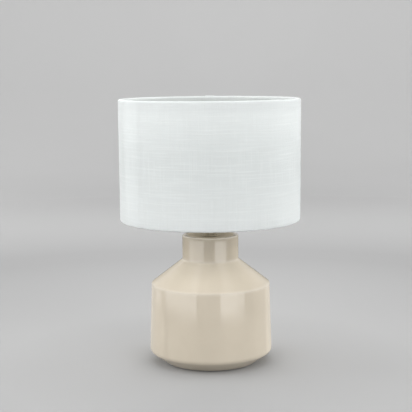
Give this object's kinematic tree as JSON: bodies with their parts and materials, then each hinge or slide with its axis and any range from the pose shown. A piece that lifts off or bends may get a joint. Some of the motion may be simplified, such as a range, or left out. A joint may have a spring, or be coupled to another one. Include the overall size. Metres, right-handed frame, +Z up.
{
  "type": "table lamp with shade",
  "caption": "Table lamp: white linen drum shade on a cream glazed ceramic bottle base, with a screw lampholder, a clamping ring and a screw-in opal bulb.",
  "frame": {"origin": "centre of the felt pad's resting face, on the lamp's axis", "axes": "+Z up along the lamp's axis, front towards -Y, cord inlet towards +Y"},
  "size_m": [0.2496, 0.2494, 0.3655],
  "materials": {
    "glaze": "cream gloss glaze",
    "felt": "dark grey pressed felt",
    "black_rubber": "moulded, satin",
    "grey_rubber": "moulded, satin, dusty",
    "black_plastic": "moulded, satin",
    "white_plastic": "moulded, semi-gloss",
    "bulb_plastic": "moulded, satin",
    "zinc_steel": "zinc-plated",
    "white_enamel": "white powder coat",
    "brass": "pressed, bright",
    "nickel": "nickel-plated, satin",
    "solder": "dull solder",
    "board_aluminium": "satin",
    "block_ceramic": "unglazed, off-white",
    "black_glass": "black glass insulator",
    "linen": "white slub linen, plain weave",
    "lining": "white lining film, matt",
    "opal": "opal diffuser, satin"
  },
  "bodies": {
    "base": {"ceramic_body": "glaze", "base_pad": "felt", "cord_grommet": "black_rubber", "neck_gasket": "grey_rubber", "seat_plate": "zinc_steel", "neck_spacer": "zinc_steel", "threaded_rod": "zinc_steel", "rod_bush": "black_plastic", "inner_gasket": "black_rubber", "inner_washer": "zinc_steel", "lock_washer": "zinc_steel", "hex_nut": "zinc_steel", "holder_cap": "white_plastic", "cap_lock_screw": "zinc_steel", "holder_skirt": "white_plastic", "contact_block": "block_ceramic", "terminal_plates": "brass", "terminal_screws": "zinc_steel", "screw_shell": "brass", "centre_contact": "brass", "contact_rivets": "zinc_steel"},
    "clamping_ring": {"shade_ring": "white_plastic"},
    "shade": {"shade_fabric": "linen", "shade_liner": "lining", "top_ring": "white_enamel", "bottom_ring": "white_enamel", "carrier_arms": "white_enamel", "carrier_washer": "white_enamel"},
    "bulb_tip": {"bulb_contact": "solder"},
    "bulb": {"bulb_insulator": "black_glass", "bulb_cap": "nickel", "bulb_housing": "bulb_plastic", "led_board": "board_aluminium", "bulb_dome": "opal"}
  },
  "joints": [
    {"name": "shade_turn", "type": "hinge", "parent": "base", "child": "shade", "pos_m": [0, 0, 0.2035], "axis": [0, 0, 1], "continuous": true},
    {"name": "ring_turn", "type": "hinge", "parent": "base", "child": "clamping_ring", "pos_m": [0, 0, 0.2051], "axis": [0, 0, 1], "continuous": true},
    {"name": "bulb_rise", "type": "slide", "parent": "base", "child": "bulb_tip", "axis": [0, 0, 1], "range_m": [0, 0.01095]},
    {"name": "bulb_turn", "type": "hinge", "parent": "bulb_tip", "child": "bulb", "pos_m": [0, 0, 0.2116], "axis": [0, 0, 1], "range_deg": [0, 1080]}
  ],
  "couplings": [
    {"joint": "bulb_rise", "follows": "bulb_turn", "m_per_rad": 0.000578}
  ]
}
